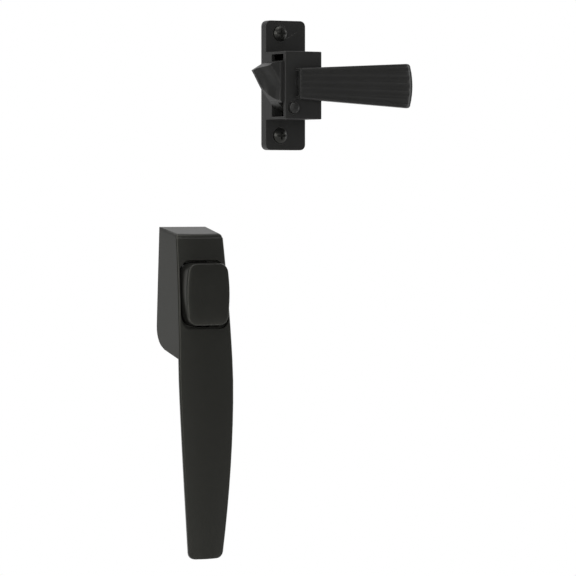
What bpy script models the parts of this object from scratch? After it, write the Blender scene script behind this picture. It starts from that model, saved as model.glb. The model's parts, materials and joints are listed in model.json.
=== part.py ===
# Pushbutton latch set for a storm door: an outside pull with a push button, and an inside latch with a lever.
# Metres, +Z up. Both castings stand on the door's face at Y = 0 and face -Y. The button's axis is X = Z = 0.
# A "depth" is a height above the door's face, so a point at a depth d has Y = -d.

import math

import bmesh
import bpy
from mathutils import Matrix, Vector

# Clearances and finish
OVERRUN = 0.002  # how far a cutter runs past the face that it opens
GAP = 0.0003  # between pieces that seat on or run in each other
EMBED = 0.0005  # how far a joined shape runs into what carries it
ROUND_STEPS = 32  # sides of a large turned piece
FINE_STEPS = 20  # sides of a small turned piece
WELD = 0.00001  # points of a curve's caps and sides this close are one point

# Pull handle
HANDLE_TOP = 0.0286  # back edge of the sloped top
HANDLE_TOP_DROP = 0.0030  # the top's front edge is this much lower
HANDLE_TOP_ROUND = 0.0013  # radius of the top's front edge
TOP_ROUND_SHARES = (0, 0.35, 0.6, 0.8, 1)  # of the quarter turn round that edge
HANDLE_BOTTOM = -0.1128
HANDLE_CORNER = 0.0027  # radius of the grip's lower corners
HANDLE_WIDEST = -0.0335  # height of the widest place
HANDLE_HALF_TOP = 0.0112
HANDLE_HALF_WIDEST = 0.0130
HANDLE_HALF_END = 0.0080
HANDLE_DEEPEST = -0.067  # height where the front stands furthest out
HANDLE_DEPTH_TOP = 0.0153
HANDLE_DEPTH_MOST = 0.0230
HANDLE_DEPTH_END = 0.0214
HANDLE_CROWN = 0.0009  # rise of the front face from its edges to its middle
HANDLE_EDGE_ROUND = 0.0007
EDGE_ROLL_SHARES = (0, 0.4, 0.75, 1)  # of the quarter turn round the front's edges
CROWN_SHARES = (0.8, 0.55, 0.28)  # of the half width, where the crowned front has its points
BACK_SHARES = (-1, -0.97, -0.88, -0.7, -0.45, -0.15, 0.15, 0.45, 0.7, 0.88, 0.97, 1)  # the same for the back
END_ROLL_SHARES = (0.25, 0.5, 0.75, 0.93)  # of the quarter turn round the lower end
HOUSING_STEPS = 6  # sections along each part of the housing
GRIP_STEPS = 9
WIDTH_TAPER_SHARES = (1.15, 1.65)  # powers of the outline's curves above and below the widest place
GRIP_EDGE = 0.0005  # straight side of the grip beside its front edge
GRIP_BACK = 0.0042  # depth of the grip's half-round back
HEEL_START = -0.0137  # where the housing's heel leaves the door
HEEL_ROUND = 0.0105
HEEL_SLOPE = math.radians(15.5)  # of the heel's underside
HEEL_UNDERSIDE_DROP = (HANDLE_DEPTH_MOST - HEEL_ROUND) * math.tan(HEEL_SLOPE)
HANDLE_WALL = 0.0021
HANDLE_FRONT_WALL = 0.0020  # measured from the front's edges
HANDLE_RIM = 0.003  # rim of the open back under the hollow

# Handle posts, on the fixing screws' spacing
SCREW_SPACING = 0.04445
POST_RADIUS = 0.0035
POST_NECK_RADIUS = 0.0030
POST_HOLE_RADIUS = 0.0017
POST_HOLE_DEPTH = 0.0125

# Push button
WELL_RIM = 0.0008  # casting left beside the recess round the button
WELL_TOP = 0.0146
WELL_BOTTOM = -0.0148
WELL_CORNER = 0.0048
WELL_STEPS = 14  # an even number, so that one section falls at mid height
WELL_DEPTH = 0.0015
BUTTON_HALF_WIDTH = 0.0102
BUTTON_HALF_HEIGHT = 0.0136
BUTTON_CORNER = 0.0046
BUTTON_BOW = 0.0006  # bulge of the long sides
BUTTON_DRAFT = 0.0003  # how much each side draws in up to the face
BUTTON_CHAMFER = 0.0009
BUTTON_CHAMFER_SHARE = 1 / 3  # where the chamfer breaks, so that it reads as a round
BUTTON_CROWN_SHARES = (0.75, 0.4)  # of the outline, where the crowned face has its points
BUTTON_CORNER_STEPS = 5
BUTTON_SIDE_STEPS = 6
BUTTON_CROWN = 0.0003
BUTTON_FACE = 0.0239  # depth of the face's edge
BUTTON_SLIDE_GAP = 0.0004
BUTTON_WALL = 0.0018
LUG_REACH = 0.0010  # how far the lugs run behind the casting's front wall
LUG_THICKNESS = 0.0016
LUG_INNER = 0.0040  # the lugs leave the middle free from here
LUG_OUTER = 0.0082
BUTTON_BOSS_RADIUS = 0.0040
BUTTON_BOSS_END = 0.0112

# Plunger, its pin and its spring
PLUNGER_RADIUS = 0.0024
PLUNGER_REACH = 0.0120  # past the door's face
PLUNGER_SEAT = 0.0185
PLUNGER_PIN_RADIUS = 0.0008
PLUNGER_PIN_DEPTH = 0.0142
SPRING_WIRE = 0.0004
SPRING_RADIUS = 0.0053
SPRING_TURNS = 5.5
SPRING_TURN_POINTS = 14

# Guide plate behind the button, on two cast pins
PLATE_SEAT = 0.0065
PLATE_THICKNESS = 0.0012
PLATE_HALF_WIDTH = 0.0080
PLATE_HALF_HEIGHT = 0.0186
PLATE_CORNER = 0.0020
PIN_OFFSET = 0.0166
PIN_BOSS_RADIUS = 0.0020
PIN_RADIUS = 0.0012
PIN_END = 0.0038
PUSH_NUT_RADIUS = 0.0020
PUSH_NUT_THICKNESS = 0.0005

# Latch: place of the lever's pivot, and the case with its plate
PIVOT_X = 0.0482
PIVOT_Z = 0.0903
PLATE_LEFT = 0.0092  # left of the pivot
PLATE_RIGHT = 0.0107
BASE_MIDDLE = -0.0003  # height of the plate's middle, from the pivot
BASE_HALF_HEIGHT = 0.0282
BASE_THICKNESS = 0.0041
BASE_CORNER = 0.0024
BASE_EDGE_ROUND = 0.0005
CASE_RIGHT = 0.0091
CASE_MIDDLE = -0.00065  # height of the case's middle, from the pivot
CASE_HALF_HEIGHT = 0.01465
CASE_FRONT = 0.0210
CASE_WALL = 0.0014
CASE_END_WALL = 0.0011
CASE_INSIDE_TOP = CASE_MIDDLE + CASE_HALF_HEIGHT - CASE_END_WALL
CASE_INSIDE_LOW = CASE_MIDDLE - CASE_HALF_HEIGHT + CASE_END_WALL
CASE_EDGE_ROUND = 0.0004
MOUTH_BACK = 0.0092  # the bolt's side opening starts at this depth
SCREW_X = -0.0020  # screws and spindle, beside the pivot
SCREW_HOLE_RADIUS = 0.0025
COUNTERBORE_RADIUS = 0.0036
COUNTERBORE_DEPTH = 0.0006

# Latch bolt: outline about the pivot, and the ramp of its nose
BOLT_BACK = 0.0097
BOLT_TIP = (-0.0195, 0.0058)
BOLT_NOSE_TOP = (-0.0143, CASE_INSIDE_TOP - 0.0041)
BOLT_SHOULDER = (-0.0089, CASE_INSIDE_TOP - 0.0029)
BOLT_CROWN_POINT = (0.0004, CASE_INSIDE_TOP - 0.0017)
BOLT_NOSE_CURVE = ((-0.0182, 0.00375), (-0.0165, 0.00075), (-0.0150, -0.0018), (-0.0130, -0.0044))
BOLT_HUB_RADIUS = 0.0073
BOLT_HUB_FROM = math.radians(-58)
BOLT_HUB_TO = math.radians(62)
BOLT_ROUND_STEPS = 10
BOLT_HEEL_STEPS = 8
BOLT_HEEL_CLEARANCE = 0.0013
BOLT_HEEL_RADIUS = -CASE_INSIDE_LOW - BOLT_HEEL_CLEARANCE
BOLT_HEEL_FROM = math.radians(213)
BOLT_HEEL_TO = math.radians(278)
RAMP_START = (-0.0130, 0.0049)  # a point of the ramp's upper edge, where its roll meets the bolt's front
RAMP_ANGLE = math.radians(-51.7)  # the way that edge runs
RAMP_REACH = 0.0052  # from that edge to the ramp's foot
RAMP_LIP = 0.0012  # thickness of the blunt nose
RAMP_END = -0.0107  # the bolt keeps its whole depth on the case's side of this
NOSE_STEP = 0.0002  # the nose's front lies this much behind the rest
# The ramp's section: share of its reach, from foot to upper edge, and share of its rise
RAMP_SHARES = (
    (1, 0),
    (0.8, 0.025),
    (0.62, 0.07),
    (0.5, 0.15),
    (0.43, 0.28),
    (0.37, 0.44),
    (0.31, 0.6),
    (0.25, 0.74),
    (0.18, 0.86),
    (0.1, 0.95),
    (0, 1),
)
CAM_LEFT = -0.0069
CAM_RIGHT = -0.0044
CAM_HALF_HEIGHT = 0.0022
CAM_BACK = 0.0048
CAM_LOW = 0.0086  # depth where the cam's slope ends
SPRING_LUG_LEFT = 0.0044
SPRING_LUG_RIGHT = 0.0068
SPRING_LUG_BOTTOM = -0.0026
SPRING_LUG_BACK = 0.0036

# Bolt spring, upright in the case
BOLT_SPRING_X = 0.0055
BOLT_SPRING_DEPTH = 0.0061
BOLT_SPRING_RADIUS = 0.0015
BOLT_SPRING_WIRE = 0.00025
BOLT_SPRING_TURNS = 6.5

# Lever
LEVER_LEFT = -0.0040
LEVER_END = 0.0533
LEVER_END_BOW = 0.0011
LEVER_BOW_SHARES = (-0.75, -0.5, -0.25, 0, 0.25, 0.5, 0.75)  # places along the bowed end, from its middle
LEVER_HALF_ROOT = 0.0066
LEVER_HALF_END = 0.0097
LEVER_DROP = 0.0003  # the far end's middle lies this much lower
LEVER_FACE = 0.0250
LEVER_WALL = 0.0013
LEVER_CORNER = 0.0016
LEVER_END_ROUND = 0.0030
LEVER_ROLL_SHARES = (0.2, 0.4, 0.6, 0.75, 0.88, 1)  # of the quarter turn round the far end
LEVER_EDGE_ROUND = 0.0006
FLUTE_START = 0.0008  # the flutes stop this far from the root's end
FLUTE_COUNT = 5
FLUTE_RADIUS = 0.0028
FLUTE_DEPTH = 0.00028
FLUTE_SPREAD_SHARE = 0.77  # of the lever's half height that the flutes fill
JOURNAL_RADIUS = 0.0036
TENON_HALF = 0.0022
TENON_END = 0.0100
SPINDLE_RADIUS = 0.0017
SPINDLE_END = 0.0076
WASHER_RADIUS = 0.0040
WASHER_THICKNESS = 0.0004
RING_RADIUS = 0.0032
RING_THICKNESS = 0.0005

# Lock stud and its clip
STUD_X = -0.0052
STUD_EDGE = 0.0038  # from the stud's middle to the case's inside
STUD_Z = CASE_INSIDE_LOW + STUD_EDGE
STUD_RADIUS = 0.00235
STUD_TOP = 0.0224
STUD_DOME = 0.0007
STUD_DOME_SHARES = ((1 / 3, 1), (0.72, 0.7))  # of the stud's radius, and of the dome's height
STUD_TAIL = 0.0180
STUD_GROOVE_FROM = 0.0186
STUD_GROOVE_TO = 0.0194
STUD_NECK_RADIUS = 0.0017
CLIP_RADIUS = 0.0033
CLIP_THICKNESS = 0.0004
STUD_TRAVEL = 0.0015
RELIEF_MARGIN = math.radians(24)
LATCH_SWING = math.radians(18)

# Case cover and screws
COVER_BACK = 0.0015
COVER_THICKNESS = 0.0010
COVER_LEDGE = 0.0006  # the cover reaches this far over the case's walls
COVER_HOLE_RADIUS = 0.0030
COVER_BOSS_EDGE = 0.0020  # from a boss's middle to the case's inside
COVER_BOSS_X = CASE_RIGHT - CASE_WALL - COVER_BOSS_EDGE
COVER_BOSS_Z = CASE_HALF_HEIGHT - CASE_END_WALL - COVER_BOSS_EDGE
COVER_BOSS_RADIUS = 0.0022
COVER_BOSS_TOP = 0.0089
COVER_SCREW_RADIUS = 0.0009
COVER_SCREW_LENGTH = 0.0055
COVER_HEAD_RADIUS = 0.0018
COVER_HEAD_HEIGHT = 0.0009
MOUNT_SCREW_RADIUS = 0.00208
MOUNT_HEAD_RADIUS = 0.00325
MOUNT_HEAD_HEIGHT = 0.0019
MOUNT_HEAD_SHARES = ((1 / 3, 0), (0.75, 0.18), (1, 0.55))  # of its radius, and of its height below the top
SCREW_POINT_SHARE = 1 / 3  # of the radius, broken at the screw's end
MOUNT_SCREW_LENGTH = 0.0105
CROSS_WIDTH = 0.0009
CROSS_LENGTH = 0.0034
CROSS_DEPTH = 0.0010


def new_collection(name):
    collection = bpy.data.collections.new(name)
    bpy.context.scene.collection.children.link(collection)
    return collection


def new_material(name, colour, roughness, metallic):
    material = bpy.data.materials.new(name)
    material.use_nodes = True
    shader = material.node_tree.nodes["Principled BSDF"]
    shader.inputs["Base Color"].default_value = (*colour, 1)
    shader.inputs["Roughness"].default_value = roughness
    shader.inputs["Metallic"].default_value = metallic
    return material


def add_part(name, mesh, material, parent=None, centre=(0, 0, 0)):
    """A finished piece whose origin is moved to centre without moving its mesh."""
    part = bpy.data.objects.new(name, mesh)
    mesh.transform(Matrix.Translation(-Vector(centre)))
    part.location = centre
    part.parent = parent
    mesh.materials.clear()
    mesh.materials.append(material)
    parts.objects.link(part)
    return part


def shape(part, mesh, operation):
    """Cuts mesh from the part, or joins it on, with a Boolean modifier."""
    tool = bpy.data.objects.new(f"{part.name}_{operation.lower()}", mesh)
    tool.parent = part.parent
    tool.hide_render = True
    tool.display_type = "WIRE"
    cutters.objects.link(tool)
    modifier = part.modifiers.new(tool.name, "BOOLEAN")
    modifier.operation = operation
    modifier.object = tool
    return tool


def cut(part, *meshes):
    for mesh in meshes:
        shape(part, mesh, "DIFFERENCE")


def join(part, *meshes):
    for mesh in meshes:
        shape(part, mesh, "UNION")


def round_edges(part, width, segments, angle=math.radians(40)):
    modifier = part.modifiers.new("rounded edges", "BEVEL")
    modifier.width = width
    modifier.segments = segments
    modifier.limit_method = "ANGLE"
    modifier.angle_limit = angle


def mesh_from(build, *arguments):
    """A mesh made by one bmesh building function."""
    mesh = bpy.data.meshes.new(build.__name__)
    work = bmesh.new()
    build(work, *arguments)
    bmesh.ops.recalc_face_normals(work, faces=work.faces)
    work.to_mesh(mesh)
    work.free()
    return mesh


def smooth(mesh, angle=math.radians(35)):
    mesh.shade_smooth()
    mesh.set_sharp_from_angle(angle=angle)
    return mesh


def box(left, right, low, high, shallow, deep):
    """A block between two X, two Z and two depths."""
    size = Matrix.Diagonal((right - left, deep - shallow, high - low, 1))
    middle = Matrix.Translation(((left + right) / 2, -(shallow + deep) / 2, (low + high) / 2))

    def block(work):
        bmesh.ops.create_cube(work, size=1, matrix=middle @ size)

    return mesh_from(block)


def drum(radius, x, z, shallow, deep, steps=FINE_STEPS, deep_radius=None):
    """A cylinder, or a cone, that stands square on the door between two depths."""
    turn = Matrix.Rotation(math.radians(90), 4, "X")
    middle = Matrix.Translation((x, -(shallow + deep) / 2, z))
    end_radius = radius if deep_radius is None else deep_radius

    def cylinder(work):
        bmesh.ops.create_cone(
            work,
            cap_ends=True,
            segments=steps,
            radius1=radius,
            radius2=end_radius,
            depth=deep - shallow,
            matrix=middle @ turn,
        )

    return smooth(mesh_from(cylinder))


def turned(profile, x, z, steps=FINE_STEPS):
    """A piece turned about an axis square to the door, from (radius, depth) pairs, front first."""
    rings = []
    for radius, depth in profile:
        around = [2 * math.pi * step / steps for step in range(steps)]
        rings.append([(x + radius * math.cos(a), -depth, z + radius * math.sin(a)) for a in around])
    return smooth(loft(rings))


def loft(rings):
    """A closed skin over rings with equal numbers of points, with a flat cap at each end."""

    def skin(work):
        rows = [[work.verts.new(point) for point in ring] for ring in rings]
        for row, following in zip(rows, rows[1:]):
            for index in range(len(row)):
                past = (index + 1) % len(row)
                work.faces.new((row[index], row[past], following[past], following[index]))
        work.faces.new(rows[0])
        work.faces.new(rows[-1])

    return mesh_from(skin)


def outline(points, shallow, deep, holes=()):
    """A flat plate: a closed outline of (X, Z) points with round holes, extruded square to the door."""
    curve = bpy.data.curves.new("outline", "CURVE")
    curve.dimensions = "2D"
    curve.fill_mode = "BOTH"
    curve.extrude = (deep - shallow) / 2
    for loop in [points] + [circle(*hole) for hole in holes]:
        spline = curve.splines.new("POLY")
        spline.points.add(len(loop) - 1)
        for point, (across, up) in zip(spline.points, loop):
            point.co = (across, up, 0, 1)
        spline.use_cyclic_u = True
    turn = Matrix.Rotation(math.radians(90), 4, "X")
    return curve_mesh(curve, Matrix.Translation((0, -(shallow + deep) / 2, 0)) @ turn)


def curve_mesh(curve, place):
    """The closed mesh of a curve object, moved to its place, with the curve itself removed."""
    source = bpy.data.objects.new(curve.name, curve)
    bpy.context.scene.collection.objects.link(source)
    seen = source.evaluated_get(bpy.context.evaluated_depsgraph_get())
    mesh = bpy.data.meshes.new_from_object(seen)
    bpy.data.objects.remove(source)
    mesh.transform(place)
    work = bmesh.new()
    work.from_mesh(mesh)
    bmesh.ops.remove_doubles(work, verts=work.verts, dist=WELD)
    bmesh.ops.recalc_face_normals(work, faces=work.faces)
    work.to_mesh(mesh)
    work.free()
    return mesh


def arc(centre, radius, start, end, steps):
    """Points of an arc from one angle to another, both ends included."""
    turns = [start + (end - start) * step / steps for step in range(steps + 1)]
    return [(centre[0] + radius * math.cos(a), centre[1] + radius * math.sin(a)) for a in turns]


def circle(radius, x=0, z=0, steps=FINE_STEPS):
    return arc((x, z), radius, 0, 2 * math.pi * (steps - 1) / steps, steps - 1)


def side_outline(points, left, right):
    """An outline of (depth, Z) points, extruded along X."""
    mesh = outline(points, -right, -left)
    mesh.transform(Matrix.Rotation(math.radians(-90), 4, "Z"))
    return mesh


def plan_outline(points, low, high):
    """An outline of (X, depth) points, extruded along Z."""
    mesh = outline(points, -high, -low)
    mesh.transform(Matrix.Rotation(math.radians(90), 4, "X"))
    return mesh


def rounded_box(left, right, low, high, radius, steps=4):
    """The outline of a rectangle with rounded corners."""
    quarter = math.pi / 2
    corners = ((right, high), (left, high), (left, low), (right, low))
    points = []
    for index, (x, z) in enumerate(corners):
        inward = (-1 if x == right else 1, -1 if z == high else 1)
        centre = (x + inward[0] * radius, z + inward[1] * radius)
        points += arc(centre, radius, index * quarter, (index + 1) * quarter, steps)
    return points


def coil(radius, wire, turns, points_per_turn, length):
    """A compression spring along +Z from the origin to length, as the middle line of its wire."""
    count = round(turns * points_per_turn)
    curve = bpy.data.curves.new("coil", "CURVE")
    curve.dimensions = "3D"
    curve.bevel_depth = wire
    curve.bevel_resolution = 2
    curve.use_fill_caps = True
    spline = curve.splines.new("POLY")
    spline.points.add(count)
    for index, point in enumerate(spline.points):
        angle = 2 * math.pi * index / points_per_turn
        height = wire + (length - 2 * wire) * index / count
        point.co = (radius * math.cos(angle), radius * math.sin(angle), height, 1)
    return curve


def steps_between(start, end, count):
    return [start + (end - start) * step / count for step in range(count + 1)]


# Pull handle


def half_width(z):
    """Half the handle's width at a height, before its lower corners are rounded."""
    above = z > HANDLE_WIDEST
    reach = (HANDLE_TOP if above else HANDLE_BOTTOM) - HANDLE_WIDEST
    narrow = HANDLE_HALF_TOP if above else HANDLE_HALF_END
    power = WIDTH_TAPER_SHARES[0 if above else 1]
    share = max(0, (z - HANDLE_WIDEST) / reach)
    return HANDLE_HALF_WIDEST - (HANDLE_HALF_WIDEST - narrow) * share**power


def front_depth(z):
    """Depth of the front face's side edges at a height."""
    above = z > HANDLE_DEEPEST
    reach = (HANDLE_TOP if above else HANDLE_BOTTOM) - HANDLE_DEEPEST
    shallow = HANDLE_DEPTH_TOP if above else HANDLE_DEPTH_END
    return HANDLE_DEPTH_MOST - (HANDLE_DEPTH_MOST - shallow) * ((z - HANDLE_DEEPEST) / reach) ** 2


def heel_depth(z, inset=0):
    """Depth of the housing's back at a height: the door's face, a rounded heel, a sloped underside."""
    if z >= HEEL_START:
        return inset
    fall = HEEL_START - z
    radius = HEEL_ROUND - inset
    turn = math.pi / 2 - HEEL_SLOPE
    if fall < radius * math.sin(turn):
        return HEEL_ROUND - math.sqrt(radius**2 - fall**2)
    return HEEL_ROUND - radius * math.cos(turn) + (fall - radius * math.sin(turn)) / math.tan(HEEL_SLOPE)


def handle_ring(z, half, drawn=0, sheared=False):
    """One section of the handle: a crowned front, drawn back at the top, and the housing's or grip's back."""
    edge = front_depth(z) - drawn
    rounding = min(HANDLE_EDGE_ROUND, half / 2)
    front = []
    for quarter_share in EDGE_ROLL_SHARES:
        angle = math.pi / 2 * quarter_share
        front.append((half - rounding + rounding * math.cos(angle), edge - rounding * (1 - math.sin(angle))))
    for share in CROWN_SHARES:
        front.append(((half - rounding) * share, edge + HANDLE_CROWN * (1 - share**2)))
    mirrored = [(-x, depth) for x, depth in reversed(front)]
    back = []
    for share in BACK_SHARES:
        grip = edge - rounding - GRIP_EDGE - GRIP_BACK * math.sqrt(1 - share**2)
        back.append((half * share, min(heel_depth(z), grip)))
    points = front + [(0, edge + HANDLE_CROWN)] + mirrored + back
    ring = []
    for x, depth in points:
        share = depth / HANDLE_DEPTH_TOP if sheared else 0
        ring.append((x * (1 - share * drawn / half), -depth, z - share * HANDLE_TOP_DROP))
    return ring


def handle_rings():
    """Sections from the sloped top to the rounded end of the grip."""
    rings = []
    for share in TOP_ROUND_SHARES:
        angle = math.pi / 2 * share
        z = HANDLE_TOP - HANDLE_TOP_ROUND * (1 - math.cos(angle))
        drawn = HANDLE_TOP_ROUND * (1 - math.sin(angle))
        rings.append(handle_ring(z, half_width(z), drawn, sheared=True))
    shoulder = HANDLE_TOP - HANDLE_TOP_DROP - HANDLE_TOP_ROUND - EMBED
    housing = steps_between(shoulder, HEEL_START, HOUSING_STEPS)
    heel_end = HEEL_START - HEEL_ROUND * math.cos(HEEL_SLOPE)
    heel = steps_between(HEEL_START, heel_end, HOUSING_STEPS)[1:]
    underside = steps_between(heel_end, heel_end - HEEL_UNDERSIDE_DROP, HOUSING_STEPS)[1:]
    grip = steps_between(underside[-1] - HANDLE_EDGE_ROUND, HANDLE_BOTTOM + HANDLE_CORNER, GRIP_STEPS)
    for z in housing + heel + underside + grip:
        rings.append(handle_ring(z, half_width(z)))
    for quarter_share in END_ROLL_SHARES:
        angle = math.pi / 2 * quarter_share
        z = HANDLE_BOTTOM + HANDLE_CORNER * (1 - math.sin(angle))
        rings.append(handle_ring(z, half_width(z) - HANDLE_CORNER * (1 - math.cos(angle))))
    return rings


def hollow_ring(z, back, step=0):
    """One section of the housing's hollow, stepped in by step."""
    half = half_width(z) - HANDLE_WALL - step
    front = front_depth(z) - HANDLE_FRONT_WALL - step
    return [(-half, -back, z), (-half, -front, z), (half, -front, z), (half, -back, z)]


def housing_hollow():
    top = HANDLE_TOP - HANDLE_TOP_DROP - HANDLE_WALL
    rings = [hollow_ring(z, -OVERRUN) for z in steps_between(top, HEEL_START + HANDLE_RIM, HOUSING_STEPS)]
    return loft(rings)


def heel_pocket():
    """The hollow's lower end, which follows the heel at the wall's thickness."""
    top = HEEL_START + HANDLE_RIM + OVERRUN
    bottom = HEEL_START - (HEEL_ROUND - HANDLE_WALL)
    places = steps_between(top, bottom, GRIP_STEPS)
    return loft([hollow_ring(z, heel_depth(z, HANDLE_WALL), EMBED) for z in places])


def well_rings(lift):
    """The recess round the button, whose sides follow the handle's outline."""
    middle = (WELL_TOP + WELL_BOTTOM) / 2
    reach = (WELL_TOP - WELL_BOTTOM) / 2
    rings = []
    for step in range(WELL_STEPS + 1):
        angle = math.pi * step / WELL_STEPS
        straight = reach - WELL_CORNER
        turned_in = WELL_CORNER * (1 - abs(math.sin(angle)))
        z = middle + math.copysign(straight, math.cos(angle)) + WELL_CORNER * math.cos(angle)
        if 2 * step == WELL_STEPS:
            z = middle
            turned_in = 0
        half = half_width(z) - WELL_RIM - turned_in
        floor = front_depth(z) - WELL_DEPTH
        high = HANDLE_DEPTH_MOST + lift
        rings.append([(-half, -floor, z), (-half, -high, z), (half, -high, z), (half, -floor, z)])
    return rings


def build_handle():
    handle = add_part("pull_handle", smooth(loft(handle_rings())), black_casting)
    spots = (SCREW_SPACING / 2, -SCREW_SPACING / 2)
    cut(handle, housing_hollow(), heel_pocket())
    for z in spots:
        post_top = front_depth(z) - HANDLE_FRONT_WALL + EMBED
        join(handle, drum(POST_RADIUS, 0, z, PLATE_SEAT, post_top, ROUND_STEPS))
        join(handle, drum(POST_NECK_RADIUS, 0, z, 0, PLATE_SEAT + OVERRUN, ROUND_STEPS))
    for z in (PIN_OFFSET, -PIN_OFFSET):
        boss_top = front_depth(z) - HANDLE_FRONT_WALL + EMBED
        join(handle, drum(PIN_BOSS_RADIUS, 0, z, PLATE_SEAT, boss_top))
        join(handle, drum(PIN_RADIUS, 0, z, PIN_END, PLATE_SEAT + OVERRUN))
    cut(handle, loft(well_rings(OVERRUN)))
    cut(handle, outline(button_outline(BUTTON_SLIDE_GAP), PLATE_SEAT, HANDLE_DEPTH_MOST))
    for z in spots:
        cut(handle, drum(POST_HOLE_RADIUS, 0, z, -OVERRUN, POST_HOLE_DEPTH))
    return handle

# Push button and what it carries


def button_outline(offset):
    """The button's outline at its base, moved outwards by offset: round corners and bowed long sides."""
    half = BUTTON_HALF_WIDTH + offset
    tall = BUTTON_HALF_HEIGHT + offset
    radius = BUTTON_CORNER + offset
    straight = tall - radius
    quarter = math.pi / 2
    side = steps_between(straight, -straight, BUTTON_SIDE_STEPS)[1:-1]
    steps = BUTTON_CORNER_STEPS
    points = arc((half - radius, straight), radius, 0, quarter, steps)
    points += arc((radius - half, straight), radius, quarter, 2 * quarter, steps)
    points += [(-half, z) for z in side]
    points += arc((radius - half, -straight), radius, 2 * quarter, 3 * quarter, steps)
    points += arc((half - radius, -straight), radius, 3 * quarter, 4 * quarter, steps)
    points += [(half, -z) for z in side]
    bowed = []
    for x, z in points:
        bow = BUTTON_BOW * max(0, 1 - (z / straight) ** 2)
        bowed.append((x + math.copysign(bow, x), z))
    return bowed


def button_rings(base):
    """Sections from the skirt up the drafted sides, over the chamfer and across the crowned face."""
    chamfer = BUTTON_FACE - BUTTON_CHAMFER
    sections = [(0, base, 1), (-BUTTON_DRAFT, chamfer, 1)]
    broken = BUTTON_CHAMFER * BUTTON_CHAMFER_SHARE
    sections += [(-BUTTON_DRAFT - broken, BUTTON_FACE - broken, 1)]
    sections += [(-BUTTON_DRAFT - BUTTON_CHAMFER, BUTTON_FACE, 1)]
    for share in BUTTON_CROWN_SHARES:
        height = BUTTON_FACE + BUTTON_CROWN * (1 - share**2)
        sections.append((-BUTTON_DRAFT - BUTTON_CHAMFER, height, share))
    rings = []
    for offset, depth, share in sections:
        rings.append([(x * share, -depth, z * share) for x, z in button_outline(offset)])
    return rings


def lug_box(side, above):
    """One of the lugs that keep the button behind the casting's front wall."""
    edge = BUTTON_HALF_HEIGHT + BUTTON_SLIDE_GAP
    tip = edge + LUG_REACH
    root = BUTTON_HALF_HEIGHT - BUTTON_WALL / 2
    sign = 1 if above else -1
    ceiling = min(front_depth(sign * edge), front_depth(sign * tip)) - HANDLE_FRONT_WALL
    top = ceiling - GAP - (0 if above else EMBED)
    left, right = sorted((side * LUG_INNER, side * LUG_OUTER))
    low, high = sorted((sign * root, sign * tip))
    return box(left, right, low, high, top - LUG_THICKNESS, top)


def build_button():
    edge = BUTTON_HALF_HEIGHT + BUTTON_SLIDE_GAP + LUG_REACH
    base = front_depth(edge) - HANDLE_FRONT_WALL - GAP - LUG_THICKNESS
    ceiling = BUTTON_FACE - BUTTON_WALL
    button = add_part("push_button", smooth(loft(button_rings(base))), black_moulding)
    inside = button_outline(-BUTTON_WALL - BUTTON_DRAFT)
    cut(button, outline(inside, base - OVERRUN, ceiling))
    for above in (True, False):
        join(button, lug_box(-1, above), lug_box(1, above))
    join(button, drum(BUTTON_BOSS_RADIUS, 0, 0, BUTTON_BOSS_END, ceiling + BUTTON_WALL / 2))
    cut(button, drum(PLUNGER_RADIUS + GAP, 0, 0, BUTTON_BOSS_END - OVERRUN, PLUNGER_SEAT + GAP))
    cut(button, pin_mesh(PLUNGER_PIN_RADIUS + GAP, BUTTON_BOSS_RADIUS + OVERRUN))
    return button


def pin_mesh(radius, half_length):
    """A pin along X at the plunger pin's depth."""
    turn = Matrix.Rotation(math.radians(90), 4, "Y")
    place = Matrix.Translation((0, -PLUNGER_PIN_DEPTH, 0)) @ turn

    def cylinder(work):
        bmesh.ops.create_cone(
            work,
            cap_ends=True,
            segments=FINE_STEPS,
            radius1=radius,
            radius2=radius,
            depth=2 * half_length,
            matrix=place,
        )

    return smooth(mesh_from(cylinder))


def build_plunger():
    tip = PLUNGER_RADIUS / 3
    profile = [(PLUNGER_RADIUS, PLUNGER_SEAT), (PLUNGER_RADIUS, tip - PLUNGER_REACH)]
    profile.append((PLUNGER_RADIUS - tip, -PLUNGER_REACH))
    plunger = add_part("plunger", turned(profile, 0, 0), bare_steel)
    cut(plunger, pin_mesh(PLUNGER_PIN_RADIUS + GAP, BUTTON_BOSS_RADIUS))
    add_part("plunger_pin", pin_mesh(PLUNGER_PIN_RADIUS, BUTTON_BOSS_RADIUS - GAP), bare_steel)


def build_button_spring():
    length = BUTTON_FACE - BUTTON_WALL - GAP - PLATE_SEAT
    wire = coil(SPRING_RADIUS, SPRING_WIRE, SPRING_TURNS, SPRING_TURN_POINTS, length)
    turn = Matrix.Rotation(math.radians(90), 4, "X")
    mesh = curve_mesh(wire, Matrix.Translation((0, -PLATE_SEAT, 0)) @ turn)
    add_part("button_spring", smooth(mesh), bare_steel)


def build_guide_plate():
    front = PLATE_SEAT - GAP
    back = front - PLATE_THICKNESS
    shape_points = rounded_box(
        -PLATE_HALF_WIDTH, PLATE_HALF_WIDTH, -PLATE_HALF_HEIGHT, PLATE_HALF_HEIGHT, PLATE_CORNER
    )
    pin_hole = PIN_RADIUS + GAP
    holes = [(PLUNGER_RADIUS + GAP, 0, 0), (pin_hole, 0, PIN_OFFSET), (pin_hole, 0, -PIN_OFFSET)]
    add_part("guide_plate", smooth(outline(shape_points, back, front, holes)), bare_steel)
    for name, z in (("upper_push_nut", PIN_OFFSET), ("lower_push_nut", -PIN_OFFSET)):
        rim = circle(PUSH_NUT_RADIUS, 0, z)
        nut_front = back - GAP
        nut = outline(rim, nut_front - PUSH_NUT_THICKNESS, nut_front, [(pin_hole, 0, z)])
        add_part(name, smooth(nut), bare_steel, centre=(0, -nut_front, z))


# Latch case and cover


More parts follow.
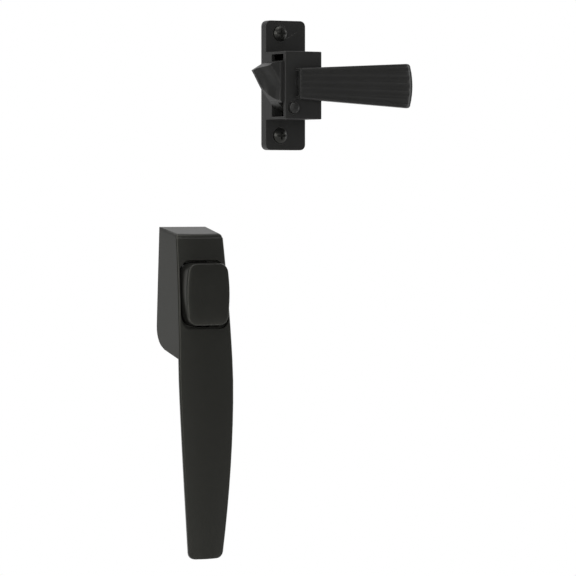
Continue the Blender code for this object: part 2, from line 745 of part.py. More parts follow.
def build_case(latch):
    left = -PLATE_LEFT
    base_low = BASE_MIDDLE - BASE_HALF_HEIGHT
    base_top = BASE_MIDDLE + BASE_HALF_HEIGHT
    base = rounded_box(left, PLATE_RIGHT, base_low, base_top, BASE_CORNER)
    case = add_part("latch_case", smooth(outline(base, 0, BASE_THICKNESS)), black_casting, latch)
    round_edges(case, BASE_EDGE_ROUND, 2)
    case_low = CASE_MIDDLE - CASE_HALF_HEIGHT
    case_top = CASE_MIDDLE + CASE_HALF_HEIGHT
    block = box(left, CASE_RIGHT, case_low, case_top, BASE_THICKNESS / 2, CASE_FRONT)
    round_edges(shape(case, block, "UNION"), CASE_EDGE_ROUND, 2)
    inner_left = left + CASE_WALL
    inner_right = CASE_RIGHT - CASE_WALL
    low = CASE_INSIDE_LOW
    high = CASE_INSIDE_TOP
    inner_front = CASE_FRONT - CASE_WALL
    cut(case, box(inner_left, inner_right, low, high, -OVERRUN, inner_front))
    seat = COVER_BACK + COVER_THICKNESS + GAP
    ledge = COVER_LEDGE + GAP
    cut(case, box(inner_left - ledge, inner_right + ledge, low - ledge, high + ledge, -OVERRUN, seat))
    mouth_left = left - OVERRUN
    cut(case, box(mouth_left, inner_left + OVERRUN, low, high, MOUTH_BACK, inner_front))
    for side in (1, -1):
        x = side * COVER_BOSS_X
        z = CASE_MIDDLE + side * COVER_BOSS_Z
        join(case, drum(COVER_BOSS_RADIUS, x, z, seat, COVER_BOSS_TOP))
        hole = COVER_SCREW_RADIUS + GAP
        cut(case, drum(hole, x, z, seat - OVERRUN, COVER_SCREW_LENGTH + COVER_BACK + GAP))
    cut(case, drum(JOURNAL_RADIUS + GAP, 0, 0, inner_front - OVERRUN, CASE_FRONT + OVERRUN, ROUND_STEPS))
    cut(case, drum(STUD_RADIUS + GAP, STUD_X, STUD_Z, inner_front - OVERRUN, CASE_FRONT + OVERRUN))
    for z in (SCREW_SPACING / 2, -SCREW_SPACING / 2):
        bottom = BASE_THICKNESS - COUNTERBORE_DEPTH
        cut(case, drum(SCREW_HOLE_RADIUS, SCREW_X, z, -OVERRUN, BASE_THICKNESS + OVERRUN))
        cut(case, drum(COUNTERBORE_RADIUS, SCREW_X, z, bottom, BASE_THICKNESS + OVERRUN, ROUND_STEPS))
    return case


def build_cover(latch):
    left = CASE_WALL - PLATE_LEFT - COVER_LEDGE
    right = CASE_RIGHT - CASE_WALL + COVER_LEDGE
    low = CASE_INSIDE_LOW - COVER_LEDGE
    high = CASE_INSIDE_TOP + COVER_LEDGE
    hole = COVER_SCREW_RADIUS + GAP
    holes = [(COVER_HOLE_RADIUS, SCREW_X, 0)]
    holes += [(hole, side * COVER_BOSS_X, CASE_MIDDLE + side * COVER_BOSS_Z) for side in (1, -1)]
    sheet = outline(rounded_box(left, right, low, high, GAP), COVER_BACK, COVER_BACK + COVER_THICKNESS, holes)
    add_part("case_cover", smooth(sheet), bare_steel, latch)
    for name, side in (("upper_cover_screw", 1), ("lower_cover_screw", -1)):
        under = COVER_BACK - GAP
        profile = [
            (COVER_SCREW_RADIUS / 2, under + COVER_SCREW_LENGTH),
            (COVER_SCREW_RADIUS, under + COVER_SCREW_LENGTH - COVER_SCREW_RADIUS),
            (COVER_SCREW_RADIUS, under),
            (COVER_HEAD_RADIUS, under),
            (COVER_HEAD_RADIUS, under - COVER_HEAD_HEIGHT / 2),
            (COVER_HEAD_RADIUS / 2, under - COVER_HEAD_HEIGHT),
        ]
        x = side * COVER_BOSS_X
        z = CASE_MIDDLE + side * COVER_BOSS_Z
        add_part(name, turned(profile, x, z), bare_steel, latch, (x, -under, z))


# Latch bolt


def ramp_cutter():
    """What the nose's ramp leaves out: an S-shaped section run along the ramp's upper edge."""
    front = CASE_FRONT - CASE_WALL - GAP - NOSE_STEP
    foot = BOLT_BACK + RAMP_LIP
    far = 2 * BOLT_HEEL_RADIUS
    section = [(RAMP_REACH * along, foot + (front - foot) * rise) for along, rise in RAMP_SHARES]
    section += [(-far, front), (-far, front + OVERRUN), (far, front + OVERRUN), (far, foot)]
    mesh = outline(section, -far, far)
    along = Vector((math.cos(RAMP_ANGLE), 0, math.sin(RAMP_ANGLE)))
    outwards = Vector((math.sin(RAMP_ANGLE), 0, -math.cos(RAMP_ANGLE)))
    turn = Matrix((outwards, along, (0, -1, 0))).transposed().to_4x4()
    mesh.transform(Matrix.Translation((RAMP_START[0], 0, RAMP_START[1])) @ turn)
    return mesh


def stud_relief():
    """A recess in the bolt's front that clears the lock stud and its clip over the bolt's whole swing."""
    reach = math.hypot(STUD_X, STUD_Z)
    middle = math.atan2(STUD_Z, STUD_X)
    start = middle - RELIEF_MARGIN
    end = middle + LATCH_SWING + RELIEF_MARGIN
    inner = arc((0, 0), reach - CLIP_RADIUS - GAP, start, end, BOLT_ROUND_STEPS)
    outer = arc((0, 0), reach + CLIP_RADIUS + OVERRUN, end, start, BOLT_ROUND_STEPS)
    floor = STUD_TAIL - STUD_TRAVEL - GAP
    return outline(inner + outer, floor, CASE_FRONT)


def build_bolt(latch):
    front = CASE_FRONT - CASE_WALL - GAP
    heel = arc((0, 0), BOLT_HEEL_RADIUS, BOLT_HEEL_FROM, BOLT_HEEL_TO, BOLT_HEEL_STEPS)
    hub = arc((0, 0), BOLT_HUB_RADIUS, BOLT_HUB_FROM, BOLT_HUB_TO, BOLT_ROUND_STEPS)
    points = [BOLT_TIP, *BOLT_NOSE_CURVE] + heel + hub
    points += [BOLT_CROWN_POINT, BOLT_SHOULDER, BOLT_NOSE_TOP]
    bolt = add_part("latch_bolt", smooth(outline(points, BOLT_BACK, front)), black_casting, latch)
    ramp = shape(bolt, ramp_cutter(), "DIFFERENCE")
    tall = 2 * BOLT_HEEL_RADIUS
    cut(ramp, box(RAMP_END, tall, -tall, tall, BOLT_BACK - OVERRUN, CASE_FRONT + OVERRUN))
    cut(bolt, stud_relief())
    embed = BOLT_BACK + GAP
    tall = CAM_HALF_HEIGHT
    cam = [(embed, -tall), (embed, tall), (CAM_BACK, tall), (CAM_BACK, tall / 2), (CAM_LOW, -tall)]
    join(bolt, side_outline(cam, CAM_LEFT, CAM_RIGHT))
    join(bolt, box(SPRING_LUG_LEFT, SPRING_LUG_RIGHT, SPRING_LUG_BOTTOM, 0, SPRING_LUG_BACK, embed))
    socket = TENON_HALF + GAP
    cut(bolt, box(-socket, socket, -socket, socket, BOLT_BACK - OVERRUN, front + OVERRUN))
    return bolt


def build_bolt_spring(latch):
    floor = CASE_INSIDE_LOW + GAP
    wire = coil(
        BOLT_SPRING_RADIUS,
        BOLT_SPRING_WIRE,
        BOLT_SPRING_TURNS,
        SPRING_TURN_POINTS,
        SPRING_LUG_BOTTOM - GAP - floor,
    )
    mesh = curve_mesh(wire, Matrix.Translation((BOLT_SPRING_X, -BOLT_SPRING_DEPTH, floor)))
    add_part("bolt_spring", smooth(mesh), bare_steel, latch)


# Lever


def lever_outline(inset, left, rolled=0):
    """The lever seen from the front, drawn in by inset, and at its bowed end by rolled as well."""
    root = LEVER_HALF_ROOT - inset
    tall = LEVER_HALF_END - inset
    right = LEVER_END - inset - rolled
    radius = LEVER_CORNER
    quarter = math.pi / 2
    low = radius - tall - LEVER_DROP
    high = tall - LEVER_DROP - radius
    points = [(left, root), (left, -root)]
    points += arc((right - radius, low), radius, -quarter, 0, 4)
    for share in LEVER_BOW_SHARES:
        points.append((right + LEVER_END_BOW * (1 - share**2), low + (high - low) * (1 + share) / 2))
    points += arc((right - radius, high), radius, 0, quarter, 4)
    return points


def flute_cutter():
    """Shallow flutes down the lever's face, fanned out from its root to its end."""
    lift = FLUTE_RADIUS - FLUTE_DEPTH

    def flutes(work):
        for index in range(FLUTE_COUNT):
            share = FLUTE_SPREAD_SHARE * (2 * index / (FLUTE_COUNT - 1) - 1)
            start = Vector((LEVER_LEFT + FLUTE_START, -LEVER_FACE - lift, share * LEVER_HALF_ROOT))
            end = Vector((LEVER_END + OVERRUN, -LEVER_FACE - lift, share * LEVER_HALF_END - LEVER_DROP))
            line = end - start
            place = Matrix.Translation((start + end) / 2) @ line.to_track_quat("Z", "Y").to_matrix().to_4x4()
            bmesh.ops.create_cone(
                work,
                cap_ends=True,
                segments=FINE_STEPS,
                radius1=FLUTE_RADIUS,
                radius2=FLUTE_RADIUS,
                depth=line.length,
                matrix=place,
            )

    return mesh_from(flutes)


def lever_rings(back):
    """Sections from the lever's back to its face, with rounded edges and a rolled far end."""
    rings = []
    for depth in (back, LEVER_FACE - LEVER_END_ROUND):
        rings.append((depth, 0, 0))
    for share in LEVER_ROLL_SHARES:
        angle = math.pi / 2 * share
        depth = LEVER_FACE - LEVER_END_ROUND * (1 - math.sin(angle))
        below = min(LEVER_EDGE_ROUND, LEVER_FACE - depth)
        inset = LEVER_EDGE_ROUND - math.sqrt(LEVER_EDGE_ROUND**2 - (LEVER_EDGE_ROUND - below) ** 2)
        rings.append((depth, inset, LEVER_END_ROUND * (1 - math.cos(angle))))
    return [
        [(x, -depth, z) for x, z in lever_outline(inset, LEVER_LEFT, rolled)]
        for depth, inset, rolled in rings
    ]


def build_lever(latch):
    back = CASE_FRONT + GAP
    skin = LEVER_FACE - LEVER_WALL
    lever = add_part("lever", smooth(loft(lever_rings(back))), black_casting, latch)
    cut(lever, outline(lever_outline(LEVER_WALL, LEVER_LEFT - OVERRUN), back - OVERRUN, skin))
    inner_front = CASE_FRONT - CASE_WALL
    join(lever, drum(JOURNAL_RADIUS, 0, 0, inner_front, skin + LEVER_WALL / 2, ROUND_STEPS))
    tenon = TENON_HALF
    join(lever, box(-tenon, tenon, -tenon, tenon, TENON_END, inner_front + GAP))
    join(lever, drum(SPINDLE_RADIUS, 0, 0, SPINDLE_END, TENON_END + GAP))
    cut(lever, flute_cutter())
    washer_back = BOLT_BACK - GAP - WASHER_THICKNESS
    hole = [(SPINDLE_RADIUS + GAP, 0, 0)]
    washer = outline(circle(WASHER_RADIUS), washer_back, washer_back + WASHER_THICKNESS, hole)
    add_part("spindle_washer", smooth(washer), bare_steel, latch)
    ring_front = washer_back - GAP
    ring = outline(circle(RING_RADIUS), ring_front - RING_THICKNESS, ring_front, hole)
    add_part("spindle_push_nut", smooth(ring), bare_steel, latch)
    return lever


# Lock stud and mounting screws


def build_lock(latch):
    profile = [(STUD_RADIUS * out, STUD_TOP + STUD_DOME * up) for out, up in STUD_DOME_SHARES]
    profile += [
        (STUD_RADIUS, STUD_TOP),
        (STUD_RADIUS, STUD_GROOVE_TO),
        (STUD_NECK_RADIUS, STUD_GROOVE_TO),
        (STUD_NECK_RADIUS, STUD_GROOVE_FROM),
        (STUD_RADIUS, STUD_GROOVE_FROM),
        (STUD_RADIUS, STUD_TAIL),
    ]
    place = (STUD_X, 0, STUD_Z)
    add_part("lock_stud", turned(profile, STUD_X, STUD_Z), black_casting, latch, place)
    middle = (STUD_GROOVE_FROM + STUD_GROOVE_TO) / 2
    half = CLIP_THICKNESS / 2
    hole = [(STUD_NECK_RADIUS + GAP, STUD_X, STUD_Z)]
    clip = outline(circle(CLIP_RADIUS, STUD_X, STUD_Z), middle - half, middle + half, hole)
    add_part("lock_clip", smooth(clip), bare_steel, latch, place)


def build_mounting_screws(latch):
    under = BASE_THICKNESS - COUNTERBORE_DEPTH + GAP
    top = under + MOUNT_HEAD_HEIGHT
    end = under - MOUNT_SCREW_LENGTH
    broken = MOUNT_SCREW_RADIUS * SCREW_POINT_SHARE
    profile = [(MOUNT_HEAD_RADIUS * out, top - MOUNT_HEAD_HEIGHT * down) for out, down in MOUNT_HEAD_SHARES]
    profile += [
        (MOUNT_HEAD_RADIUS, under),
        (MOUNT_SCREW_RADIUS, under),
        (MOUNT_SCREW_RADIUS, end + broken),
        (MOUNT_SCREW_RADIUS - broken, end),
    ]
    long = CROSS_LENGTH / 2
    thin = CROSS_WIDTH / 2
    floor = top - CROSS_DEPTH
    high = SCREW_SPACING / 2
    for name, z in (("upper_mounting_screw", high), ("lower_mounting_screw", -high)):
        screw = add_part(name, turned(profile, SCREW_X, z), black_steel, latch, (SCREW_X, -under, z))
        cut(screw, box(SCREW_X - long, SCREW_X + long, z - thin, z + thin, floor, top + OVERRUN))
        cut(screw, box(SCREW_X - thin, SCREW_X + thin, z - long, z + long, floor, top + OVERRUN))


# Start from an empty scene
for leftover in list(bpy.data.objects):
    bpy.data.objects.remove(leftover)
parts = new_collection("pushbutton_door_latch")
cutters = new_collection("cutters")
black_casting = new_material("black painted casting", (0.018, 0.018, 0.017), 0.42, 0.0)
black_moulding = new_material("black moulding", (0.02, 0.02, 0.02), 0.38, 0.0)
bare_steel = new_material("plated steel", (0.55, 0.54, 0.5), 0.3, 1.0)
black_steel = new_material("black screw steel", (0.03, 0.03, 0.03), 0.3, 0.6)

latch_pivot = bpy.data.objects.new("latch_pivot", None)
latch_pivot.location = (PIVOT_X, 0, PIVOT_Z)
parts.objects.link(latch_pivot)

build_handle()
build_button()
build_plunger()
build_button_spring()
build_guide_plate()
build_case(latch_pivot)
build_cover(latch_pivot)
build_bolt(latch_pivot)
build_bolt_spring(latch_pivot)
build_lever(latch_pivot)
build_lock(latch_pivot)
build_mounting_screws(latch_pivot)
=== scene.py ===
import math

import bmesh
import bpy
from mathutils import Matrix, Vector
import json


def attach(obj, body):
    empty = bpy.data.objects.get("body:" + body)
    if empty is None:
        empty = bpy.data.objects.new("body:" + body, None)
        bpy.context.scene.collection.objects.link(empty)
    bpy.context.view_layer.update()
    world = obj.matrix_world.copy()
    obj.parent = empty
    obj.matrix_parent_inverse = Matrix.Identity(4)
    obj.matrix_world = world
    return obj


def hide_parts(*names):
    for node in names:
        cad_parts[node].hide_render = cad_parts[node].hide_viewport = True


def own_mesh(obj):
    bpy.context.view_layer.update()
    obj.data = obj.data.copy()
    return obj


# looks for the black pushbutton door latch: satin black castings, plated inner parts, white studio
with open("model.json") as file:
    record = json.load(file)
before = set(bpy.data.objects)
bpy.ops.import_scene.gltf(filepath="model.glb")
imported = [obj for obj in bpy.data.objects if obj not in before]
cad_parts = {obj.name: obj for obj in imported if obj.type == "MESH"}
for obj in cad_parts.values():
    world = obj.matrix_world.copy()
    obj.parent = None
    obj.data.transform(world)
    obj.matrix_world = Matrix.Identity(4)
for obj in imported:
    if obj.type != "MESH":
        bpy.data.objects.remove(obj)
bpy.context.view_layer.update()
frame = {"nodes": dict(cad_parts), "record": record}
print("frame loaded:", len(frame["nodes"]), "nodes")


# noise from low to high is stretched over the whole range of what it drives
noiseLook = {"mottleDetail": 3, "grainDetail": 2, "low": 0.3, "high": 0.7}
# the two cosines are the lean on an edge and on an open face; the lighter edge paint, partly rubbed paint and
# partly painted highlight, fades out between them
edgeMaskLook = {"samples": 4, "wornAndLitEdge": 0.9, "open": 0.995}
mixSockets = {"first": 6, "second": 7, "result": 2}  # a Mix node's colours come after its numbers and vectors


def noiseTexture(tree, place, size, detail):
    texture = tree.nodes.new("ShaderNodeTexNoise")
    texture.inputs["Scale"].default_value = 1 / size
    texture.inputs["Detail"].default_value = detail
    tree.links.new(place, texture.inputs["Vector"])
    return texture.outputs["Fac"]


def mapRange(tree, source, fromLow, fromHigh, toLow, toHigh):
    mapped = tree.nodes.new("ShaderNodeMapRange")
    mapped.inputs["From Min"].default_value = fromLow
    mapped.inputs["From Max"].default_value = fromHigh
    mapped.inputs["To Min"].default_value = toLow
    mapped.inputs["To Max"].default_value = toHigh
    tree.links.new(source, mapped.inputs["Value"])
    return mapped.outputs["Result"]


# each colour is either three numbers or another node's output
def blendColours(tree, factor, first, second):
    mix = tree.nodes.new("ShaderNodeMix")
    mix.data_type = "RGBA"
    tree.links.new(factor, mix.inputs["Factor"])
    for key, colour in (("first", first), ("second", second)):
        socket = mix.inputs[mixSockets[key]]
        if isinstance(colour, bpy.types.NodeSocket):
            tree.links.new(colour, socket)
        else:
            socket.default_value = (*colour, 1)
    return mix.outputs[mixSockets["result"]]


# 1 on sharp edges and 0 on open faces, from how far a rounded normal leans from the real one
def edgeMask(tree, reach):
    rounded = tree.nodes.new("ShaderNodeBevel")
    rounded.samples = edgeMaskLook["samples"]
    rounded.inputs["Radius"].default_value = reach
    plain = tree.nodes.new("ShaderNodeNewGeometry")
    lean = tree.nodes.new("ShaderNodeVectorMath")
    lean.operation = "DOT_PRODUCT"
    tree.links.new(rounded.outputs["Normal"], lean.inputs[0])
    tree.links.new(plain.outputs["Normal"], lean.inputs[1])
    return mapRange(tree, lean.outputs["Value"], edgeMaskLook["wornAndLitEdge"], edgeMaskLook["open"], 1, 0)


# a finish with soft mottling, lighter edges that are partly rubbed paint and partly a painted highlight, fine
# grain in its gloss and a shallow bump
def makeFinish(name, look):
    material = bpy.data.materials.new(name)
    material.use_nodes = True
    tree = material.node_tree
    shader = tree.nodes["Principled BSDF"]
    shader.inputs["Metallic"].default_value = look["metal"]
    shader.inputs["Specular IOR Level"].default_value = look["specular"]
    shader.inputs["Specular Tint"].default_value = (*look["gleam"], 1)
    place = tree.nodes.new("ShaderNodeTexCoord").outputs["Object"]

    blotches = noiseTexture(tree, place, look["mottleSize"], noiseLook["mottleDetail"])
    mottle = mapRange(tree, blotches, noiseLook["low"], noiseLook["high"], 0, 1)
    shaded = tuple(channel * look["mottle"] for channel in look["colour"])
    body = blendColours(tree, mottle, look["colour"], shaded)
    # edges painted lighter: partly rubbed paint, partly a painted highlight
    wornAndLitEdge = edgeMask(tree, look["edgeReach"])
    tree.links.new(blendColours(tree, wornAndLitEdge, body, look["wornAndLitEdgeColour"]), shader.inputs["Base Color"])

    grain = noiseTexture(tree, place, look["grainSize"], noiseLook["grainDetail"])
    rough = mapRange(tree, grain, noiseLook["low"], noiseLook["high"], *look["rough"])
    tree.links.new(rough, shader.inputs["Roughness"])
    bump = tree.nodes.new("ShaderNodeBump")
    bump.inputs["Strength"].default_value = look["bump"]
    bump.inputs["Distance"].default_value = look["bumpHeight"]
    tree.links.new(grain, bump.inputs["Height"])
    tree.links.new(bump.outputs["Normal"], shader.inputs["Normal"])
    return material


handleLook = {
    "colour": (0.0118, 0.0119, 0.0108), "mottle": 1.12, "mottleSize": 0.012,
    "metal": 0.0, "specular": 0.43, "gleam": (1.0, 1.0, 0.88),
    "wornAndLitEdgeColour": (0.024, 0.024, 0.0225), "edgeReach": 0.0004,
    "rough": (0.36, 0.44), "grainSize": 0.00035, "bump": 0.12, "bumpHeight": 0.00003,
}
# the button's rim is painted much lighter than the handle's edges, as a painted highlight
buttonLook = dict(
    handleLook, specular=0.50, wornAndLitEdgeColour=(0.100, 0.100, 0.094), edgeReach=0.0006,
    rough=(0.28, 0.31), bump=0.02,
)
# a lighter copy of the handle's paint: painted light for the latch, and a painted highlight on its edges
latchPaintedLitLook = dict(
    handleLook, colour=(0.0200, 0.0200, 0.0195), wornAndLitEdgeColour=(0.080, 0.080, 0.078),
    specular=0.28, gleam=(1.0, 1.0, 0.98),
)
screwLook = dict(
    handleLook, colour=(0.009, 0.009, 0.009), gleam=(1.0, 1.0, 0.92), rough=(0.28, 0.34), bump=0.05,
)
plateLook = {
    "colour": (0.58, 0.57, 0.53), "mottle": 0.86, "mottleSize": 0.004,
    "metal": 1.0, "specular": 0.5, "gleam": (1.0, 1.0, 1.0),
    "wornAndLitEdgeColour": (0.70, 0.69, 0.66), "edgeReach": 0.0002,
    "rough": (0.26, 0.40), "grainSize": 0.0002, "bump": 0.1, "bumpHeight": 0.00002,
}
finishes = {
    "black_casting": makeFinish("satinBlackHandle", handleLook),
    "black_button": makeFinish("satinBlackButton", buttonLook),
    "black_screws": makeFinish("glossBlackScrew", screwLook),
    "plated_steel": makeFinish("zincPlatedSteel", plateLook),
}
# the latch's castings share the handle's slot; they are a lighter copy of the handle's paint, painted lighter
# to stand for the brighter light on them, with a stronger painted highlight on their edges
latchPaintedLitFinish = makeFinish("satinBlackLatchPaintedLit", latchPaintedLitLook)
latchCastings = ("latch_case", "latch_bolt", "lever", "lock_stud")
print("finishes made:", len(finishes) + 1)


slotOf = {row["node"]: row["material_slot"] for row in frame["record"]["subparts"]}
bodyOf = {}
for body, names in frame["record"]["behaviour"]["bodies"].items():
    bodyOf.update({name: body for name in names})


# how far each piece's edges are broken, in metres
edgeWidths = {
    "pull_handle": 0.00045, "push_button": 0.00040, "latch_case": 0.00030,
    "latch_bolt": 0.00030, "lever": 0.00045, "lock_stud": 0.00030, "otherPieces": 0.00006,
}
# distances in metres and angles in degrees
meshLook = {
    "segments": 3, "sharpAngle": 35, "mergeWithin": 0.000002, "cutWithin": 0.0000001,
    "flatWithin": 1, "squareWithin": 60,
}


# cuts the faces across at several places along the door's width, so that the new points can be moved
def sliceAcross(work, places):
    for place in places:
        everything = work.verts[:] + work.edges[:] + work.faces[:]
        bmesh.ops.bisect_plane(
            work, geom=everything, dist=meshLook["cutWithin"], plane_co=(place, 0, 0), plane_no=(1, 0, 0),
        )


# the lever's face rolls back over its last 11 mm, and more steeply towards the end
rollLook = {"from": 0.0915, "to": 0.1026, "steps": 12, "faceDepth": 0.0236, "drop": 0.0013}


def rollEnd(mesh):
    work = bmesh.new()
    work.from_mesh(mesh)
    start, steps = rollLook["from"], rollLook["steps"]
    reach = rollLook["to"] - start
    sliceAcross(work, [start + reach * step / steps for step in range(steps)])
    for vert in work.verts:
        share = (vert.co.x - start) / reach
        if share > 0 and -vert.co.y > rollLook["faceDepth"]:
            vert.co.y += rollLook["drop"] * share**2
    work.to_mesh(mesh)
    work.free()


# the bolt's ramp runs up into its full-depth side in a cove; depths are measured from the door
rampLook = {
    "sideX": 0.0375, "coveWidth": 0.0050, "steps": 14,
    "full": 0.0192, "foot": 0.0105, "least": 0.00002,
}


def softenRamp(mesh):
    work = bmesh.new()
    work.from_mesh(mesh)
    side, width, steps = rampLook["sideX"], rampLook["coveWidth"], rampLook["steps"]
    sliceAcross(work, [side - width * step / steps - rampLook["least"] for step in range(steps)])
    for vert in work.verts:
        share = (vert.co.x - side + width) / width
        depth = -vert.co.y
        if 0 < share < 1 and rampLook["foot"] < depth < rampLook["full"]:
            rise = 1 - math.sqrt(1 - share * share)
            vert.co.y = -(depth + (rampLook["full"] - depth) * rise)
    bmesh.ops.recalc_face_normals(work, faces=work.faces)
    work.to_mesh(mesh)
    work.free()


# a smooth copy of a CAD node with its edges broken, which stands for the node
def dressNode(name):
    mesh = frame["nodes"][name].data.copy()
    piece = bpy.data.objects.new(name + "_finished", mesh)
    bpy.context.scene.collection.objects.link(piece)
    work = bmesh.new()
    work.from_mesh(mesh)
    bmesh.ops.remove_doubles(work, verts=work.verts, dist=meshLook["mergeWithin"])
    bmesh.ops.join_triangles(
        work, faces=work.faces, angle_face_threshold=math.radians(meshLook["flatWithin"]),
        angle_shape_threshold=math.radians(meshLook["squareWithin"]),
    )
    bmesh.ops.recalc_face_normals(work, faces=work.faces)
    work.to_mesh(mesh)
    work.free()
    if name == "latch_bolt":
        softenRamp(mesh)
    if name == "lever":
        rollEnd(mesh)
    sharp = math.radians(meshLook["sharpAngle"])
    mesh.shade_smooth()
    mesh.set_sharp_from_angle(angle=sharp)
    bevel = piece.modifiers.new("brokenEdges", "BEVEL")
    bevel.width = edgeWidths.get(name, edgeWidths["otherPieces"])
    bevel.segments = meshLook["segments"]
    bevel.limit_method = "ANGLE"
    bevel.angle_limit = sharp
    evener = piece.modifiers.new("evenShading", "WEIGHTED_NORMAL")
    evener.keep_sharp = True
    mesh.materials.clear()
    mesh.materials.append(latchPaintedLitFinish if name in latchCastings else finishes[slotOf[name]])
    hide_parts(name)
    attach(piece, bodyOf[name])
    return piece


pieces = {name: dressNode(name) for name in frame["nodes"]}
print("pieces dressed:", len(pieces))


# rows for the two springs, which shorten with their joints towards their fixed ends; the script only gives
# each a mesh of its own
springRows = [
    {
        "name": "button_spring", "joint": "button_push",
        "along": (0, 1, 0), "fixed": (0, -0.0065, 0), "keep": 0.706,
    },
    {
        "name": "bolt_spring", "joint": "lever_turn",
        "along": (0, 0, 1), "fixed": (0.0537, 0, 0.0764), "keep": 0.82,
    },
]
for row in springRows:
    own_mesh(pieces[row["name"]])


# turned to the left of square and dipped a little, in degrees; it stands at the height between the halves
cameraLook = {
    "turn": 30, "dip": 1.643, "distance": 1.4655, "aside": 0.0455, "height": 0.04426,
    "focalPixels": 3403, "picture": 576, "sensor": 36, "farthest": 20,
}


# how far a place or direction lies towards the backdrop, which stands square to the photo's view
def alongView(tree, place):
    turn = math.radians(cameraLook["turn"])
    along = tree.nodes.new("ShaderNodeVectorMath")
    along.operation = "DOT_PRODUCT"
    along.inputs[1].default_value = (math.sin(turn), math.cos(turn), 0)
    tree.links.new(place, along.inputs[0])
    return along.outputs["Value"]


# white to the camera, in as far as reach says where it is given,
# and white to reflections on the backdrop's side, where depth is 1
def whiteBackground(tree, plain, white, depth, reach=None):
    path = tree.nodes.new("ShaderNodeLightPath")

    def combine(operation, first, second):
        node = tree.nodes.new("ShaderNodeMath")
        node.operation = operation
        tree.links.new(first, node.inputs[0])
        tree.links.new(second, node.inputs[1])
        return node.outputs[0]

    seen = combine("MAXIMUM", path.outputs["Is Camera Ray"], path.outputs["Is Transmission Ray"])
    if reach:
        seen = combine("MULTIPLY", seen, reach)
    mirrored = combine("MULTIPLY", path.outputs["Is Glossy Ray"], depth)
    mix = tree.nodes.new("ShaderNodeMixShader")
    tree.links.new(combine("MAXIMUM", seen, mirrored), mix.inputs[0])
    tree.links.new(plain, mix.inputs[1])
    tree.links.new(white, mix.inputs[2])
    return mix.outputs[0]


# a pale floor that keeps the shadow near the hung parts and runs out to white
floorLook = {
    "height": -0.30, "half": 6.0, "colour": (0.9, 0.9, 0.9), "rough": 0.9,
    "shadowReach": 0.6, "whiteFrom": 1.2, "mirrorFrom": 0.0, "mirrorTo": 0.5,
}


def makeFloor():
    work = bmesh.new()
    bmesh.ops.create_grid(work, x_segments=1, y_segments=1, size=floorLook["half"])
    bmesh.ops.translate(work, verts=work.verts, vec=(0, 0, floorLook["height"]))
    mesh = bpy.data.meshes.new("studioFloor")
    work.to_mesh(mesh)
    work.free()
    floor = bpy.data.objects.new("studioFloor", mesh)
    bpy.context.scene.collection.objects.link(floor)
    material = bpy.data.materials.new("paleFloor")
    material.use_nodes = True
    tree = material.node_tree
    shader = tree.nodes["Principled BSDF"]
    shader.inputs["Base Color"].default_value = (*floorLook["colour"], 1)
    shader.inputs["Roughness"].default_value = floorLook["rough"]
    place = tree.nodes.new("ShaderNodeTexCoord").outputs["Object"]
    depth = mapRange(tree, alongView(tree, place), floorLook["mirrorFrom"], floorLook["mirrorTo"], 0, 1)
    away = tree.nodes.new("ShaderNodeVectorMath")
    away.operation = "LENGTH"
    tree.links.new(place, away.inputs[0])
    reach = mapRange(tree, away.outputs["Value"], floorLook["shadowReach"], floorLook["whiteFrom"], 0, 1)
    white = tree.nodes.new("ShaderNodeEmission")
    surface = whiteBackground(tree, shader.outputs[0], white.outputs[0], depth, reach)
    tree.links.new(surface, tree.nodes["Material Output"].inputs["Surface"])
    mesh.materials.append(material)


makeFloor()


# the room: pale behind the door, and darker towards the camera's side
roomLook = {"dark": 0.16, "pale": 0.75, "from": 0.1, "to": 1.0}


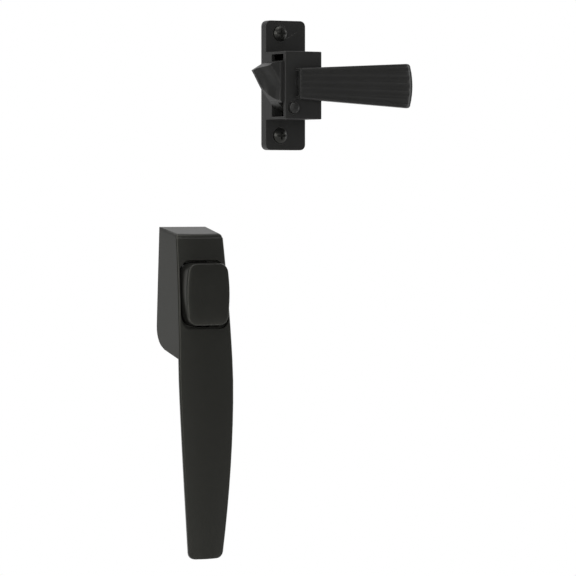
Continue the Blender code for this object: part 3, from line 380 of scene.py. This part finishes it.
def makeWorld():
    world = bpy.data.worlds.new("studioRoom")
    bpy.context.scene.world = world
    world.use_nodes = True
    tree = world.node_tree
    tree.nodes.clear()
    along = alongView(tree, tree.nodes.new("ShaderNodeTexCoord").outputs["Generated"])
    depth = mapRange(tree, along, roomLook["from"], roomLook["to"], 0, 1)
    plain = tree.nodes.new("ShaderNodeBackground")
    tree.links.new(mapRange(tree, depth, 0, 1, roomLook["dark"], roomLook["pale"]), plain.inputs["Color"])
    white = tree.nodes.new("ShaderNodeBackground")
    white.inputs["Color"].default_value = (1, 1, 1, 1)
    out = tree.nodes.new("ShaderNodeOutputWorld")
    surface = whiteBackground(tree, plain.outputs[0], white.outputs[0], depth)
    tree.links.new(surface, out.inputs["Surface"])


makeWorld()


# soft lamps above, to the left, ahead and to the right, all facing the origin; softStrip is a narrow one
lampRows = [
    {"name": "softTop", "at": (-0.15, -0.25, 1.1), "wide": 0.9, "high": 0.9, "watts": 7.5},
    {"name": "softLeft", "at": (-1.1, -0.9, 0.35), "wide": 0.7, "high": 0.7, "watts": 6.5},
    {"name": "softFront", "at": (-0.62, -1.6, 0.55), "wide": 0.6, "high": 0.6, "watts": 1.2},
    {"name": "softRight", "at": (1.6, -0.15, 0.25), "wide": 0.6, "high": 0.8, "watts": 2.6},
    {"name": "softStrip", "at": (-0.1, -1.7, 0.15), "wide": 0.2, "high": 0.9, "watts": 1.8},
]


def makeLamps():
    for row in lampRows:
        lamp = bpy.data.lights.new(row["name"], "AREA")
        lamp.shape = "RECTANGLE"
        lamp.size = row["wide"]
        lamp.size_y = row["high"]
        lamp.energy = row["watts"]
        holder = bpy.data.objects.new(row["name"], lamp)
        holder.location = row["at"]
        holder.rotation_euler = (-Vector(row["at"])).to_track_quat("-Z", "Y").to_euler()
        bpy.context.scene.collection.objects.link(holder)


makeLamps()
print("floor, room and lamps ready")


def makeCamera():
    turn = math.radians(cameraLook["turn"])
    ahead = Vector((math.sin(turn), math.cos(turn), 0))
    right = Vector((math.cos(turn), -math.sin(turn), 0))
    lens = bpy.data.cameras.new("studioCamera")
    camera = bpy.data.objects.new("studioCamera", lens)
    camera.location = right * cameraLook["aside"] - ahead * cameraLook["distance"]
    camera.location.z = cameraLook["height"]
    camera.rotation_euler = (math.pi / 2 - math.radians(cameraLook["dip"]), 0, -turn)
    lens.sensor_width = cameraLook["sensor"]
    lens.lens = cameraLook["focalPixels"] / cameraLook["picture"] * cameraLook["sensor"]
    lens.clip_end = cameraLook["farthest"]
    bpy.context.scene.collection.objects.link(camera)
    bpy.context.scene.camera = camera


makeCamera()
bpy.context.scene.view_settings.view_transform = "Standard"
print("camera set")
